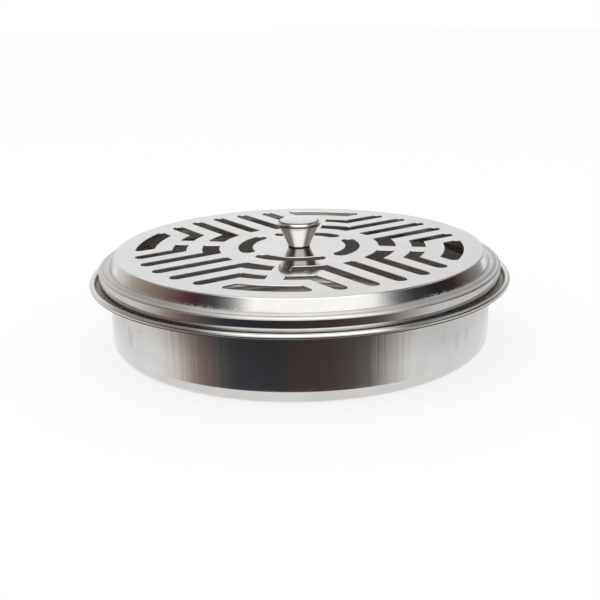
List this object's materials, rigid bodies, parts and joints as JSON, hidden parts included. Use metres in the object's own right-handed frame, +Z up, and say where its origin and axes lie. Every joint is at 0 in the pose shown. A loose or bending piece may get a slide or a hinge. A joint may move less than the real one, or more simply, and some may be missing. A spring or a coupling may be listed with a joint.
{
  "type": "mosquito coil holder",
  "caption": "Round stainless steel tray with a curled rim and an inner coil prong, closed by a pierced lift-off lid with a flared hollow knob.",
  "frame": {"origin": "on the floor under the middle of the dish", "axes": "+Z up through the knob; the lid's slot pattern is mirrored about X and about Y"},
  "size_m": [0.162, 0.162, 0.0477],
  "materials": {
    "dish_steel": "bright drawn stainless sheet with faint upright draw lines",
    "lid_steel": "bright rolled stainless sheet, close to a mirror",
    "knob_steel": "polished stainless",
    "stand_steel": "dull stainless strip",
    "rivet_metal": "satin aluminium",
    "fastener_zinc": "bright zinc plate"
  },
  "bodies": {
    "tray": {"dish": "dish_steel", "coil_stand": "stand_steel", "stand_rivets": "rivet_metal"},
    "cover": {"lid": "lid_steel", "knob_cone": "knob_steel", "knob_cap": "knob_steel", "knob_insert": "fastener_zinc", "knob_screw": "fastener_zinc", "knob_washer": "fastener_zinc"}
  },
  "joints": [
    {"name": "lid_lift", "type": "slide", "parent": "tray", "child": "cover", "axis": [0, 0, 1], "range_m": [0, 0.08]}
  ]
}
